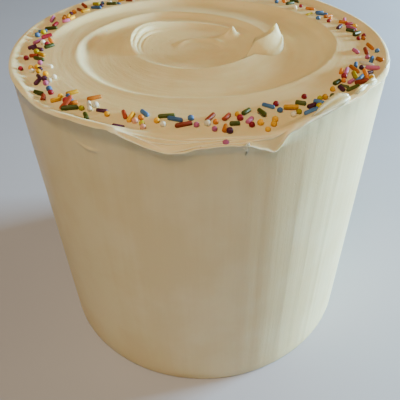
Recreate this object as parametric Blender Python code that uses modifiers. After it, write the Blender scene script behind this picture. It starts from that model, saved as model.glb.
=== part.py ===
"""A tall vanilla cake in buttercream: a straight wall, a spiral drawn in the top with a palette knife,
a torn lip hanging over the front of the rim, and a ring of sugar sprinkles pressed in just inside the rim.

Lengths are in metres, +Z is up, and the origin is the middle of the base. The front faces -Y. Angles on the
cake are in degrees round from the front, growing towards +X.
"""

import math
import random

import bmesh
import bpy
import numpy as np
from mathutils import Matrix, Vector

MM = 0.001

# The iced cake: a 6 inch sponge under 7 mm of buttercream, nearly as tall as it is wide
RADIUS = 83 * MM
HEIGHT = 151 * MM
FOOT_INSET = 1.2 * MM
FOOT_HEIGHT = 1.6 * MM
SEGMENTS = 120

# Rings across the swirl (first, last and spacing), and heights of the rings round the wall
SWIRL_RINGS = (9 * MM, 74.5 * MM, 1.75 * MM)
RIM_RINGS = (76 * MM, 78.5 * MM, 80.8 * MM)
WALL_RINGS = [z * MM for z in (100, 50)]

# The rim: it turns over from the top into a lip, with a crease under the lip where the wall starts again
ROLL_LEVEL = 1.0 * MM
LIP_LEVEL = 3.0 * MM
CREASE_LEVEL = 5.0 * MM
CREASE_DEPTH = 0.6 * MM
CROWN_WIDTH = 4.0 * MM
CROWN_SPREAD = 0.8
BAND_EDGE = 72 * MM

# Round the rim, in mm: angle, how far the crown stands up and how far in from the wall, how far the lip hangs
# down and stands out
RIM = np.array([
    (-180, 1.1, 0.7, -0.6, 0.2), (-120, 1.1, 0.7, -0.6, 0.2), (-90, 1.5, 0.6, -1.0, 0.3), (-68, 1.1, 0.6, -0.6, 0.3),
    (-54, 1.5, 0.6, -1.1, 0.3), (-48, 0.7, 0.6, -0.2, 0.3), (-40, 0.9, 0.6, -0.5, 0.3), (-33, 1.9, 0.6, -1.5, 0.3),
    (-25, 2.3, 0.8, -1.8, 0.3), (-20, 1.9, 1.4, -1.3, 0.4), (-17.5, 1.0, 2.4, 0.0, 0.6), (-14, 0.0, 3.5, 1.3, 0.9),
    (-10, -0.7, 4.2, 2.9, 1.2), (-7, -0.8, 4.4, 3.7, 1.3), (-4, -0.8, 4.4, 3.4, 1.2), (-1, -0.8, 4.4, 2.1, 1.0),
    (4, -0.8, 4.2, 1.0, 0.9), (9, -0.7, 3.6, 1.5, 0.9), (12, -0.6, 2.9, 2.5, 0.9), (15, -0.5, 2.2, 4.4, 0.9),
    (17.5, -0.3, 1.6, 6.2, 0.8), (19, 0.2, 1.2, 4.4, 0.6), (20.5, 0.8, 1.0, 1.0, 0.4), (23, 1.8, 1.0, -1.0, 0.3),
    (27, 3.2, 1.1, -2.4, 0.3), (32, 4.0, 1.2, -3.3, 0.3), (38, 4.5, 1.3, -3.9, 0.3), (43, 4.4, 1.0, -3.8, 0.3),
    (48, 4.9, 0.8, -4.4, 0.3), (54, 3.8, 0.8, -3.3, 0.3), (62, 1.9, 0.7, -1.3, 0.3), (75, 1.1, 0.6, -0.6, 0.3),
    (90, 1.6, 0.6, -1.0, 0.3), (110, 1.0, 0.7, -0.6, 0.2), (145, 1.3, 0.7, -0.8, 0.2), (180, 1.1, 0.7, -0.6, 0.2),
])

# The dish of the top: the band under the sprinkles, the floor of the knife's groove, and the bowl in the middle
BAND_DEPTH = 0.6 * MM
GROOVE_DEPTH = 1.9 * MM
GROOVE_EDGE = (0.60, 0.86)
BOWL_DEPTH = 0.8 * MM
BOWL_EDGE = (0.12, 0.36)

# The knife's spiral ridge: angle along its turns, distance from the middle as a share of the radius, step (mm)
SPIRAL = np.array([
    (-80, 0.375, 0.0), (-45, 0.330, 1.1), (0, 0.310, 1.8), (40, 0.300, 2.2), (75, 0.330, 1.6), (110, 0.395, 1.8),
    (150, 0.430, 2.0), (180, 0.470, 2.3), (210, 0.555, 2.7), (240, 0.605, 2.8), (270, 0.655, 2.8),
    (315, 0.665, 2.3), (360, 0.640, 2.6), (400, 0.665, 2.8), (450, 0.735, 2.9), (495, 0.720, 2.3),
    (540, 0.705, 2.1), (580, 0.745, 2.5), (610, 0.810, 2.0), (635, 0.870, 0.0),
])
# The fold at the left of the bowl, where the last stroke began, and the low wall it leaves round the back
FOLD = np.array([
    (-245, 0.300, 0.0), (-210, 0.310, 0.9), (-180, 0.325, 1.6), (-150, 0.350, 3.0), (-125, 0.395, 4.6),
    (-100, 0.395, 3.6), (-72, 0.355, 0.0),
])
STEP_WIDTH = 4.5 * MM
STEP_POWER = 1.6
SLOPE_LENGTH = 13 * MM
FOLD_SLOPE = 4 * MM

# The last, low curl of the stroke in the middle of the bowl
EYE_RADIUS = 0.135
EYE_HEIGHT = 0.8 * MM
EYE_WIDTH = 1.6 * MM

# The pulled-up curl, as stations along it: place of its crest, height (mm), place of its foot inside the bowl and
# of its foot outside, and how far its outer edge rolls up (mm). Places are shares of the radius
CURL = np.array([
    (0.00, 0.215, -0.178, -1.5, 0.208, -0.168, 0.222, -0.185, 0.0),
    (0.18, 0.250, -0.130, 1.4, 0.250, -0.098, 0.284, -0.163, 0.0),
    (0.36, 0.276, -0.094, 3.4, 0.274, -0.022, 0.348, -0.166, 0.0),
    (0.54, 0.306, -0.060, 5.2, 0.292, 0.050, 0.404, -0.150, 0.2),
    (0.68, 0.360, -0.020, 6.0, 0.308, 0.110, 0.440, -0.105, 0.6),
    (0.80, 0.402, 0.026, 6.8, 0.330, 0.160, 0.462, -0.030, 1.1),
    (0.90, 0.424, 0.084, 8.6, 0.364, 0.198, 0.470, 0.050, 1.3),
    (1.00, 0.431, 0.200, 0.6, 0.407, 0.226, 0.462, 0.168, 0.3),
])
CURL_STATIONS = 14
CURL_SIDE_STEPS = 6
CURL_SUNK = 3.2 * MM
HOLLOW_POWER = 1.35
SWELL_POWER = 0.85
ROLLED_AT = 0.80
ROLL_WIDTH = 0.12

# The small peak left inside the bowl where the knife lifted off, with a tail the way the knife came
PEAK_PLACE = (0.188, 0.175)
PEAK_HEADING = (0.93, 0.37)
PEAK_HEIGHT = 5.0 * MM
PEAK_WIDTH = 1.7 * MM
PEAK_TAIL = 5.0 * MM
PEAK_SHARPNESS = 1.3

# Torn flakes on the rim, each a strip along a path. By stations: share of the way, angle, distance in from the
# wall, height above the rim's plane, half width, half thickness (all mm), and how many degrees its face looks up
FLAKES = {
    "folded_flake": np.array([
        (0.0, 26.0, -0.1, 2.2, 0.5, 0.3, 40), (0.25, 29.0, 0.6, 3.4, 1.4, 0.6, 50), (0.6, 34.0, 1.7, 4.6, 2.5, 0.8, 62),
        (0.85, 38.0, 2.1, 5.2, 2.5, 0.8, 68), (1.0, 40.2, 1.6, 5.1, 1.2, 0.5, 66),
    ]),
    "torn_edge": np.array([
        (0.0, 43.0, 1.6, 4.2, 0.5, 0.4, 60), (0.3, 45.5, 1.3, 5.6, 1.1, 0.7, 45), (0.5, 48.5, 1.8, 4.9, 0.8, 0.6, 70),
        (0.75, 51.5, 0.9, 5.2, 1.3, 0.8, 40), (1.0, 54.5, 0.9, 3.7, 0.5, 0.4, 50),
    ]),
    "torn_tag": np.array([
        (0.0, 10.2, -0.8, -1.2, 1.5, 0.4, 10), (0.35, 10.6, -0.7, -2.8, 1.0, 0.5, 5), (0.7, 10.9, -0.2, -4.4, 0.45, 0.4, 0),
        (1.0, 10.5, 0.1, -6.2, 0.25, 0.25, 0),
    ]),
    "rim_spike": np.array([
        (0.0, 66.0, 0.8, 0.6, 0.9, 0.5, 20), (0.5, 68.5, 0.5, 1.9, 0.8, 0.45, 10), (1.0, 70.5, 0.0, 3.0, 0.25, 0.25, 0),
    ]),
}
FLAKE_STATIONS = 7
FLAKE_SIDES = 8

# The ring of sprinkles, as the pinches it was dropped in: angle, distance from the middle as a share of the
# radius, and what fell there. Capitals are rods, small letters pearls, and the letter is the colour
PINCHES = (
    (-172, 0.86, "BYRk"), (-160, 0.87, "GOPl"), (-147, 0.80, "ROw"), (-139, 0.84, "wBY"), (-131, 0.85, "LGBBp"),
    (-125, 0.88, "RRY"), (-116, 0.87, "opYYO"), (-109, 0.89, "KCK"), (-100, 0.91, "BGl"), (-94, 0.90, "bKCO"),
    (-85, 0.86, "PcGwP"), (-79, 0.88, "lYR"), (-74, 0.90, "ckcG"), (-67, 0.89, "pyyywPW"), (-60, 0.88, "Pkywpw"),
    (-51, 0.90, "cbyGR"), (-43, 0.89, "OYYGcBR"), (-35, 0.87, "wOWlGP"), (-26, 0.88, "RyP"), (-19, 0.89, "Yloee"),
    (-9, 0.86, "BRGywB"), (1, 0.86, "wRbko"), (7, 0.88, "ROpkG"), (14, 0.84, "GGKyc"), (17, 0.92, "yyyyc"),
    (26, 0.83, "YBcb"), (30, 0.88, "BPwGll"), (38, 0.86, "ycBlg"), (50, 0.88, "oPGGGy"), (57, 0.83, "KKLcO"),
    (58, 0.93, "BwPROy"), (67, 0.88, "pKOBW"), (73, 0.94, "BOk"), (80, 0.89, "bROK"), (92, 0.89, "ccoG"),
    (99, 0.87, "GPCK"), (105, 0.90, "OKy"), (113, 0.84, "bOOc"), (122, 0.85, "LOBB"), (131, 0.83, "cwG"),
    (140, 0.83, "ObGO"), (152, 0.86, "YRpB"), (163, 0.86, "KGwO"), (174, 0.87, "PBYc"),
)
ANGLE_SPREAD = 2.6
SHARE_SPREAD = 0.026
BAND_LIMITS = (0.76, 0.965)
ROD_LENGTH = (4.4 * MM, 6.5 * MM)
ROD_RADIUS = (0.82 * MM, 0.96 * MM)
PEARL_RADIUS = (1.00 * MM, 1.25 * MM)
LIP_PEARL = (5.9, 0.988, -1.1 * MM)
ROD_SIDES = 6
SUNK_SHARE = 0.40
TOUCH = 0.15 * MM
CLEAR_TRIES = 24
STACKED_TRIES = 12
STACKED_RISE = 0.5
SEED = 12

# Triangles kept: in the top before the sprinkles are fused on, and in the whole cake after
TOP_SHARE_KEPT = 0.34
MOST_TRIANGLES = 11800


def clear_scene():
    for obj in list(bpy.data.objects):
        bpy.data.objects.remove(obj, do_unlink=True)


def collection_named(name):
    made = bpy.data.collections.new(name)
    bpy.context.scene.collection.children.link(made)
    return made


def finish_named(name, colour, roughness):
    material = bpy.data.materials.new(name)
    material.use_nodes = True
    shader = material.node_tree.nodes["Principled BSDF"]
    shader.inputs["Base Color"].default_value = (*colour, 1)
    shader.inputs["Roughness"].default_value = roughness
    shader.inputs["Metallic"].default_value = 0
    return material


def through(rows, column, at):
    """One column of the rows as a smooth curve through all of them, read at the given places."""
    places, values = rows[:, 0], rows[:, column]
    slopes = np.gradient(values, places)
    low = np.clip(np.searchsorted(places, at) - 1, 0, len(places) - 2)
    gap = places[low + 1] - places[low]
    t = (at - places[low]) / gap
    rise = t * t * (3 - 2 * t)
    start = t * (1 - t) ** 2 * slopes[low] * gap
    end = t * t * (t - 1) * slopes[low + 1] * gap
    return values[low] * (1 - rise) + values[low + 1] * rise + start + end


def eased(value, low, high):
    t = np.clip((value - low) / (high - low), 0, 1)
    return t * t * (3 - 2 * t)


def ridge(radius, angle, rows, slope_length):
    """Height of a ridge left by the knife: steep on its inner side, easing down outwards."""
    total = np.zeros_like(radius)
    first, last = rows[0, 0], rows[-1, 0]
    for turn in (-360, 0, 360, 720):
        at = angle + turn
        where = np.clip(at, first, last)
        away = radius - RADIUS * through(rows, 1, where)
        step = MM * through(rows, 2, where)
        inner = np.clip(1 + away / STEP_WIDTH, 0, 1) ** STEP_POWER
        outer = np.exp(-np.clip(away, 0, None) / slope_length)
        total += np.where((at >= first) & (at <= last), step * np.where(away < 0, inner, outer), 0)
    return total


def top_relief(x, y):
    """Height of the icing above the plane of the rim, for arrays of places on the top."""
    radius, angle = np.hypot(x, y), np.degrees(np.arctan2(x, -y))
    share = radius / RADIUS
    dish = -BAND_DEPTH - GROOVE_DEPTH * (1 - eased(share, *GROOVE_EDGE)) - BOWL_DEPTH * (1 - eased(share, *BOWL_EDGE))
    strokes = np.maximum(ridge(radius, angle, SPIRAL, SLOPE_LENGTH), ridge(radius, angle, FOLD, FOLD_SLOPE))
    eye_line = np.exp(-(((radius - EYE_RADIUS * RADIUS) / EYE_WIDTH) ** 2))
    eye = EYE_HEIGHT * eye_line * eased(-np.cos(np.radians(angle)), -0.1, 0.7)
    crown_radius = RADIUS - MM * through(RIM, 2, angle)
    rise = MM * through(RIM, 1, angle)
    crown_foot = crown_radius - CROWN_WIDTH - CROWN_SPREAD * np.clip(rise, 0, None)
    crown = (BAND_DEPTH + rise) * eased(radius, crown_foot, crown_radius)
    along = (x - PEAK_PLACE[0] * RADIUS) * PEAK_HEADING[0] + (y - PEAK_PLACE[1] * RADIUS) * PEAK_HEADING[1]
    across = (y - PEAK_PLACE[1] * RADIUS) * PEAK_HEADING[0] - (x - PEAK_PLACE[0] * RADIUS) * PEAK_HEADING[1]
    reach = np.hypot(along / np.where(along > 0, PEAK_WIDTH, PEAK_TAIL), across / PEAK_WIDTH)
    peak = PEAK_HEIGHT * np.exp(-reach ** PEAK_SHARPNESS)
    return dish + strokes + eye + crown + peak


def top_height(x, y):
    return HEIGHT + float(top_relief(np.array([x]), np.array([y]))[0])


def mesh_object(name, mesh, collection):
    obj = bpy.data.objects.new(name, mesh)
    collection.objects.link(obj)
    return obj


def evaluated_mesh(obj, name):
    graph = bpy.context.evaluated_depsgraph_get()
    made = bpy.data.meshes.new_from_object(obj.evaluated_get(graph), depsgraph=graph)
    made.name = name
    return made


def turned_blank(collection):
    """The plain turned cake: an outline run from the middle of the top, over the rim and down to the base."""
    rings = [4.5 * MM, *np.arange(*SWIRL_RINGS), *RIM_RINGS, RADIUS]
    outline = [(r, HEIGHT) for r in (0, *rings)]
    outline += [(RADIUS, HEIGHT - level) for level in (ROLL_LEVEL, LIP_LEVEL, CREASE_LEVEL)]
    outline += [(RADIUS, z) for z in WALL_RINGS]
    outline += [(RADIUS, FOOT_HEIGHT), (RADIUS - FOOT_INSET, 0), (RADIUS / 2, 0), (0, 0)]
    mesh = bpy.data.meshes.new("outline")
    mesh.from_pydata([(r, 0, z) for r, z in outline], [(i, i + 1) for i in range(len(outline) - 1)], [])
    obj = mesh_object("outline", mesh, collection)
    screw = obj.modifiers.new("turn", "SCREW")
    screw.steps = screw.render_steps = SEGMENTS
    screw.use_merge_vertices = True
    screw.merge_threshold = 0.1 * MM
    return obj


def shape_icing(mesh):
    """Moves every point of the turned blank to where the knife left the icing."""
    count = len(mesh.vertices)
    points = np.empty(count * 3)
    mesh.vertices.foreach_get("co", points)
    points = points.reshape(-1, 3)
    x, y, z = points.T.copy()
    radius, angle = np.hypot(x, y), np.degrees(np.arctan2(x, -y))
    rise, inset, drop, out = (MM * through(RIM, column, angle) for column in (1, 2, 3, 4))
    level = HEIGHT - z
    on_top = level < 0.1 * MM
    on_crown = on_top & (radius > RADIUS - 0.1 * MM)
    on_band = on_top & ~on_crown & (radius > BAND_EDGE)
    drawn_in = -inset * (radius - BAND_EDGE) / (RADIUS - BAND_EDGE)
    on_roll = np.abs(level - ROLL_LEVEL) < 0.1 * MM
    on_lip = np.abs(level - LIP_LEVEL) < 0.1 * MM
    on_crease = np.abs(level - CREASE_LEVEL) < 0.1 * MM
    shift = np.where(on_crown, -inset, 0) + np.where(on_roll, 0.35 * out - 0.35 * inset, 0) + np.where(on_lip, out, 0)
    shift = np.where(on_band, drawn_in, shift)
    scale = 1 + shift / np.maximum(radius, MM)
    x, y = x * scale, y * scale
    z[on_top] += top_relief(x[on_top], y[on_top])
    z[on_roll] = (HEIGHT + rise - 0.42 * (rise + drop))[on_roll]
    z[on_lip] = (HEIGHT - drop)[on_lip]
    z[on_crease] = (HEIGHT - drop - CREASE_DEPTH)[on_crease]
    points = np.stack([x, y, z], 1)
    mesh.vertices.foreach_set("co", points.ravel())
    mesh.update()


def triangulated(mesh):
    bm = bmesh.new()
    bm.from_mesh(mesh)
    bmesh.ops.triangulate(bm, faces=bm.faces)
    bmesh.ops.recalc_face_normals(bm, faces=bm.faces)
    bm.to_mesh(mesh)
    bm.free()


def stations_of(rows, count):
    """The columns after the first, read as smooth curves at evenly spaced stations."""
    at = np.linspace(0, 1, count)
    return np.stack([through(rows, column, at) for column in range(1, rows.shape[1])], 1)


def curl_slice(row):
    """Points round one slice: up its hollow inner face, down its outer face to the rolled edge, and under."""
    crest, inner, outer = (Vector((row[i] * RADIUS, row[i + 1] * RADIUS, 0)) for i in (0, 3, 5))
    height, roll = row[2] * MM, row[7] * MM
    base = HEIGHT - BAND_DEPTH - GROOVE_DEPTH
    steps = [i / CURL_SIDE_STEPS for i in range(CURL_SIDE_STEPS + 1)]
    hollow = [(inner.lerp(crest, t), height * t ** HOLLOW_POWER) for t in steps]
    swell = []
    for t in steps[1:]:
        rolled = roll * math.exp(-(((t - ROLLED_AT) / ROLL_WIDTH) ** 2))
        swell.append((crest.lerp(outer, t), height * (1 - t) ** SWELL_POWER + rolled))
    under = [(crest.lerp(outer, 0.7), -CURL_SUNK), (crest.lerp(inner, 0.7), -CURL_SUNK)]
    return [place + Vector((0, 0, base + up)) for place, up in hollow + swell + under]


def flake_slices(rows):
    """Oval slices set across the path of a flake."""
    stations = stations_of(rows, FLAKE_STATIONS)
    path = [
        Vector((math.sin(math.radians(row[0])), -math.cos(math.radians(row[0])), 0)) * (RADIUS - row[1] * MM)
        + Vector((0, 0, HEIGHT + row[2] * MM)) for row in stations
    ]
    slices = []
    for i, row in enumerate(stations):
        along = (path[min(i + 1, len(path) - 1)] - path[max(i - 1, 0)]).normalized()
        outward = Vector((path[i].x, path[i].y, 0)).normalized()
        face = outward * math.cos(math.radians(row[5])) + Vector((0, 0, math.sin(math.radians(row[5]))))
        across = along.cross(face).normalized()
        face = across.cross(along)
        ring = []
        for k in range(FLAKE_SIDES):
            turn = 2 * math.pi * k / FLAKE_SIDES
            ring.append(path[i] + across * (row[3] * MM * math.cos(turn)) + face * (row[4] * MM * math.sin(turn)))
        slices.append(ring)
    return slices


def lofted(name, slices):
    """Joins slices of as many points each into a closed skin, with a cap at each end."""
    bm = bmesh.new()
    rings = [[bm.verts.new(place) for place in ring] for ring in slices]
    for near, far in zip(rings, rings[1:]):
        for i in range(len(near)):
            j = (i + 1) % len(near)
            bm.faces.new((near[i], near[j], far[j], far[i]))
    bm.faces.new(rings[0])
    bm.faces.new(rings[-1])
    bmesh.ops.triangulate(bm, faces=bm.faces)
    bmesh.ops.recalc_face_normals(bm, faces=bm.faces)
    mesh = bpy.data.meshes.new(name)
    bm.to_mesh(mesh)
    bm.free()
    return mesh


def ends_of(place, heading, length):
    reach = Vector((math.cos(heading), math.sin(heading))) * length / 2
    return place - reach, place + reach


def gap_between(first, second):
    """Smallest distance in plan between two sprinkles, each a short line between its two ends."""
    samples = [i / 6 for i in range(7)]
    mine = [first["a"].xy.lerp(first["b"].xy, t) for t in samples]
    theirs = [second["a"].xy.lerp(second["b"].xy, t) for t in samples]
    return min((p - q).length for p in mine for q in theirs)


def rise_over(piece, others):
    """How far a sprinkle has to rise to clear those already lying under it."""
    rise = 0.0
    for other in others:
        if (piece["a"].xy - other["a"].xy).length > 20 * MM:
            continue
        reach = piece["radius"] + other["radius"] - TOUCH
        gap = gap_between(piece, other)
        if gap < reach:
            top = max(other["a"].z, other["b"].z)
            low = (piece["a"].z + piece["b"].z) / 2
            rise = max(rise, top + math.sqrt(reach * reach - gap * gap) - low)
    return rise


def drawn_sprinkle(draw, angle, share, is_rod):
    """One sprinkle dropped near the middle of its pinch, resting part sunk in the icing."""
    turn = math.radians(draw.gauss(angle, ANGLE_SPREAD))
    out = min(max(draw.gauss(share, SHARE_SPREAD), BAND_LIMITS[0]), BAND_LIMITS[1]) * RADIUS
    heading = draw.uniform(0, math.pi)
    length = draw.uniform(*ROD_LENGTH) if is_rod else 0
    radius = draw.uniform(*ROD_RADIUS) if is_rod else draw.uniform(*PEARL_RADIUS)
    place = Vector((math.sin(turn), -math.cos(turn))) * out
    ends = ends_of(place, heading, max(length - 2 * radius, 0.01 * MM))
    if max(end.length for end in ends) > BAND_LIMITS[1] * RADIUS:
        return None
    lift = radius * (1 - SUNK_SHARE)
    a, b = (Vector((end.x, end.y, top_height(end.x, end.y) + lift)) for end in ends)
    return {"rod": is_rod, "a": a, "b": b, "radius": radius}


def sprinkle_list():
    """Every sprinkle as its two ends, radius, kind and colour letter, drawn with a fixed seed. The last one has
    rolled onto the lip."""
    draw = random.Random(SEED)
    placed = []
    for angle, share, letters in PINCHES:
        for letter in letters:
            for attempt in range(CLEAR_TRIES + STACKED_TRIES):
                piece = drawn_sprinkle(draw, angle, share, letter.isupper())
                if piece is None:
                    continue
                rise = rise_over(piece, placed)
                longest = (piece["b"] - piece["a"]).length
                if rise > 0 and (attempt < CLEAR_TRIES or rise > longest * STACKED_RISE):
                    continue
                piece["b"].z += rise * 1.7
                piece["colour"] = letter.upper()
                placed.append(piece)
                break
    angle, share, level = LIP_PEARL
    turn = math.radians(angle)
    place = Vector((math.sin(turn) * share * RADIUS, -math.cos(turn) * share * RADIUS, HEIGHT + level))
    ends = (place, place + Vector((0, 0, 0.01 * MM)))
    placed.append({"rod": False, "a": ends[0], "b": ends[1], "radius": PEARL_RADIUS[1], "colour": "K"})
    return placed


def rod_mesh(piece):
    """A six-sided rod with blunt pointed ends, laid from one of its ends to the other."""
    length, radius = (piece["b"] - piece["a"]).length, piece["radius"] * 1.05
    bm = bmesh.new()
    bmesh.ops.create_uvsphere(bm, u_segments=ROD_SIDES, v_segments=3, radius=radius)
    for vertex in bm.verts:
        pole = math.hypot(vertex.co.x, vertex.co.y) < radius / 10
        side = math.copysign(1, vertex.co.z)
        if pole:
            vertex.co.z = side * (length / 2 + radius)
        else:
            vertex.co.xy = vertex.co.xy.normalized() * radius
            vertex.co.z = side * (length / 2 + radius * 0.4)
    return bm


def pearl_mesh(piece):
    bm = bmesh.new()
    bmesh.ops.create_icosphere(bm, subdivisions=1, radius=piece["radius"] * 1.08)
    return bm


def sprinkle_object(number, piece, collection):
    bm = rod_mesh(piece) if piece["rod"] else pearl_mesh(piece)
    along = (piece["b"] - piece["a"]).normalized()
    turn = along.to_track_quat("Z", "Y").to_matrix().to_4x4()
    middle = (piece["a"] + piece["b"]) / 2
    bmesh.ops.transform(bm, matrix=Matrix.Translation(middle) @ turn, verts=bm.verts)
    bmesh.ops.triangulate(bm, faces=bm.faces)
    mesh = bpy.data.meshes.new(f"sprinkle_{number}")
    bm.to_mesh(mesh)
    bm.free()
    return mesh_object(f"sprinkle_{number}", mesh, collection)


def keep_outer_shell(mesh):
    """Drops loose scraps and fills hollows that the union sealed: only the largest shell stays."""
    bm = bmesh.new()
    bm.from_mesh(mesh)
    bm.verts.ensure_lookup_table()
    unseen, shells = set(bm.verts), []
    while unseen:
        shell, edge = set(), [next(iter(unseen))]
        while edge:
            vertex = edge.pop()
            if vertex in shell:
                continue
            shell.add(vertex)
            edge.extend(e.other_vert(vertex) for e in vertex.link_edges)
        shells.append(shell)
        unseen -= shell
    largest = max(shells, key=len)
    bmesh.ops.delete(bm, geom=[v for v in bm.verts if v not in largest], context="VERTS")
    bmesh.ops.triangulate(bm, faces=bm.faces)
    bm.to_mesh(mesh)
    bm.free()


def thinned(obj, share, group=""):
    """Collapses the edges that show least, down to a share of the triangles, within a vertex group if named."""
    thin = obj.modifiers.new("thin", "DECIMATE")
    thin.decimate_type = "COLLAPSE"
    thin.ratio = min(1, share)
    thin.vertex_group = group
    made = evaluated_mesh(obj, obj.name)
    obj.modifiers.clear()
    obj.data = made
    return made


def build():
    clear_scene()
    cake_collection = collection_named("vanilla_cake")
    toppings = collection_named("toppings")

    blank = turned_blank(cake_collection)
    icing = evaluated_mesh(blank, "iced_cake")
    bpy.data.objects.remove(blank, do_unlink=True)
    shape_icing(icing)
    triangulated(icing)
    cake = mesh_object("iced_cake", icing, cake_collection)
    swirl = cake.vertex_groups.new(name="swirl")
    inside = [v.index for v in icing.vertices if v.co.z > HEIGHT / 2 and v.co.xy.length < SWIRL_RINGS[1]]
    swirl.add(inside, 1, "REPLACE")
    thinned(cake, TOP_SHARE_KEPT, "swirl")

    mesh_object("curl", lofted("curl", [curl_slice(row) for row in stations_of(CURL, CURL_STATIONS)]), toppings)
    for name, rows in FLAKES.items():
        mesh_object(name, lofted(name, flake_slices(rows)), toppings)
    for number, piece in enumerate(sprinkle_list()):
        sprinkle_object(number, piece, toppings)

    join = cake.modifiers.new("join", "BOOLEAN")
    join.operation = "UNION"
    join.operand_type = "COLLECTION"
    join.collection = toppings
    join.solver = "MANIFOLD"
    joined = evaluated_mesh(cake, "iced_cake")
    cake.modifiers.clear()
    cake.data = joined
    for obj in list(toppings.objects):
        bpy.data.objects.remove(obj, do_unlink=True)
    bpy.data.collections.remove(toppings)

    keep_outer_shell(joined)
    joined = thinned(cake, MOST_TRIANGLES / len(joined.polygons))
    joined.materials.clear()
    joined.materials.append(finish_named("buttercream", (0.83, 0.74, 0.58), 0.45))
    joined.shade_smooth()
    joined.set_sharp_from_angle(angle=math.radians(35))
    print("iced_cake:", len(joined.polygons), "triangles")


build()
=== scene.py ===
# %% [markdown]
# A tall vanilla cake, dressed for a close look
#
# The CAD model already has the cake's real form: a straight iced wall, a spiral left in the top by a
# palette knife, a lip of icing torn over the front of the rim, and a ring of sprinkles. This lesson builds
# the same forms again with far more points, adds the fine marks of the scraper and the knife, and gives
# each sprinkle its colour. Nothing here changes the cake's size.

import math
import random

import bmesh
import bpy
import numpy as np
from mathutils import Euler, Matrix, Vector


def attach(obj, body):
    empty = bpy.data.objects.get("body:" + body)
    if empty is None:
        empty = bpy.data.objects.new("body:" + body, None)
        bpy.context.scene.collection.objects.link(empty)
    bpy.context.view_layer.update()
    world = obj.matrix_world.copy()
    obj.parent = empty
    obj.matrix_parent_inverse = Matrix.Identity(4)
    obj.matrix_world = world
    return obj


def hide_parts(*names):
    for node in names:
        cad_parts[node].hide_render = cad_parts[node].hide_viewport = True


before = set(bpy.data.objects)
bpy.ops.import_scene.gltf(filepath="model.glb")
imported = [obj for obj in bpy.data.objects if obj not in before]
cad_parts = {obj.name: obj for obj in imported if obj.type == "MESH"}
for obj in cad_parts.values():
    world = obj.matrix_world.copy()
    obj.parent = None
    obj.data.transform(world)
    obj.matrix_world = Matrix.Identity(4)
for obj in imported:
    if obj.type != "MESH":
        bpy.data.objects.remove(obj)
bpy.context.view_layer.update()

# %% [markdown]
# Lengths and angles
#
# Every length is in metres, and `MM` turns millimetres into them. Angles on the cake are in degrees round
# from the front, growing towards the viewer's right. The numbers below are the same as in the CAD model.

# %% The cake's measures
MM = 0.001
TINY = 0.01 * MM
RADIUS = 83 * MM
HEIGHT = 151 * MM
FOOT_INSET = 1.2 * MM
FOOT_HEIGHT = 1.6 * MM

# Round the rim, in mm: angle, how far the crown stands up and how far in from the wall, how far the lip
# hangs down and stands out
RIM = np.array([
    (-180, 1.1, 0.7, -0.6, 0.2), (-120, 1.1, 0.7, -0.6, 0.2), (-90, 1.5, 0.6, -1, 0.3),
    (-68, 1.1, 0.6, -0.6, 0.3), (-54, 1.5, 0.6, -1.1, 0.3), (-48, 0.7, 0.6, -0.2, 0.3),
    (-40, 0.9, 0.6, -0.5, 0.3), (-33, 1.9, 0.6, -1.5, 0.3), (-25, 2.3, 0.8, -1.8, 0.3),
    (-20, 1.9, 1.4, -1.3, 0.4), (-17.5, 1, 2.4, 0, 0.6), (-14, 0, 3.5, 1.3, 0.9),
    (-10, -0.7, 4.2, 2.9, 1.2), (-7, -0.8, 4.4, 3.7, 1.3), (-4, -0.8, 4.4, 3.4, 1.2),
    (-1, -0.8, 4.4, 2.1, 1), (4, -0.8, 4.2, 1, 0.9), (9, -0.7, 3.6, 1.5, 0.9),
    (12, -0.6, 2.9, 2.5, 0.9), (15, -0.5, 2.2, 4.4, 0.9), (17.5, -0.3, 1.6, 6.2, 0.8),
    (19, 0.2, 1.2, 4.4, 0.6), (20.5, 0.8, 1, 1, 0.4), (23, 1.8, 1, -1, 0.3),
    (27, 3.2, 1.1, -2.4, 0.3), (32, 4, 1.2, -3.3, 0.3), (38, 4.5, 1.3, -3.9, 0.3),
    (43, 4.4, 1, -3.8, 0.3), (48, 4.9, 0.8, -4.4, 0.3), (54, 3.8, 0.8, -3.3, 0.3),
    (62, 1.9, 0.7, -1.3, 0.3), (75, 1.1, 0.6, -0.6, 0.3), (90, 1.6, 0.6, -1, 0.3),
    (110, 1, 0.7, -0.6, 0.2), (145, 1.3, 0.7, -0.8, 0.2), (180, 1.1, 0.7, -0.6, 0.2),
])

# The dish of the top: the band under the sprinkles, the knife's groove, and the bowl in the middle
BAND_DEPTH = 0.6 * MM
GROOVE_DEPTH = 1.9 * MM
GROOVE_EDGE = (0.60, 0.86)
BOWL_DEPTH = 0.8 * MM
BOWL_EDGE = (0.12, 0.36)
CROWN_WIDTH = 4.0 * MM
CROWN_SPREAD = 0.8
BAND_EDGE = 72 * MM

# The knife's spiral ridge and the fold: angle along its turns, share of the radius, step (mm)
SPIRAL = np.array([
    (-80, 0.375, 0), (-45, 0.330, 1.1), (0, 0.310, 1.8), (40, 0.300, 2.2), (75, 0.330, 1.6),
    (110, 0.395, 1.8), (150, 0.430, 2), (180, 0.470, 2.3), (210, 0.555, 2.7), (240, 0.605, 2.8),
    (270, 0.655, 2.8), (315, 0.665, 2.3), (360, 0.640, 2.6), (400, 0.665, 2.8), (450, 0.735, 2.9),
    (495, 0.720, 2.3), (540, 0.705, 2.1), (580, 0.745, 2.5), (610, 0.810, 2), (635, 0.870, 0),
])
FOLD = np.array([
    (-245, 0.300, 0), (-210, 0.310, 0.9), (-180, 0.325, 1.6), (-150, 0.350, 3), (-125, 0.395, 4.6),
    (-100, 0.395, 3.6), (-72, 0.355, 0),
])
STEP_WIDTH = 4.5 * MM
STEP_POWER = 1.6
SLOPE_LENGTH = 13 * MM
FOLD_SLOPE = 4 * MM
EYE_RADIUS = 0.135
EYE_HEIGHT = 0.8 * MM
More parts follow.
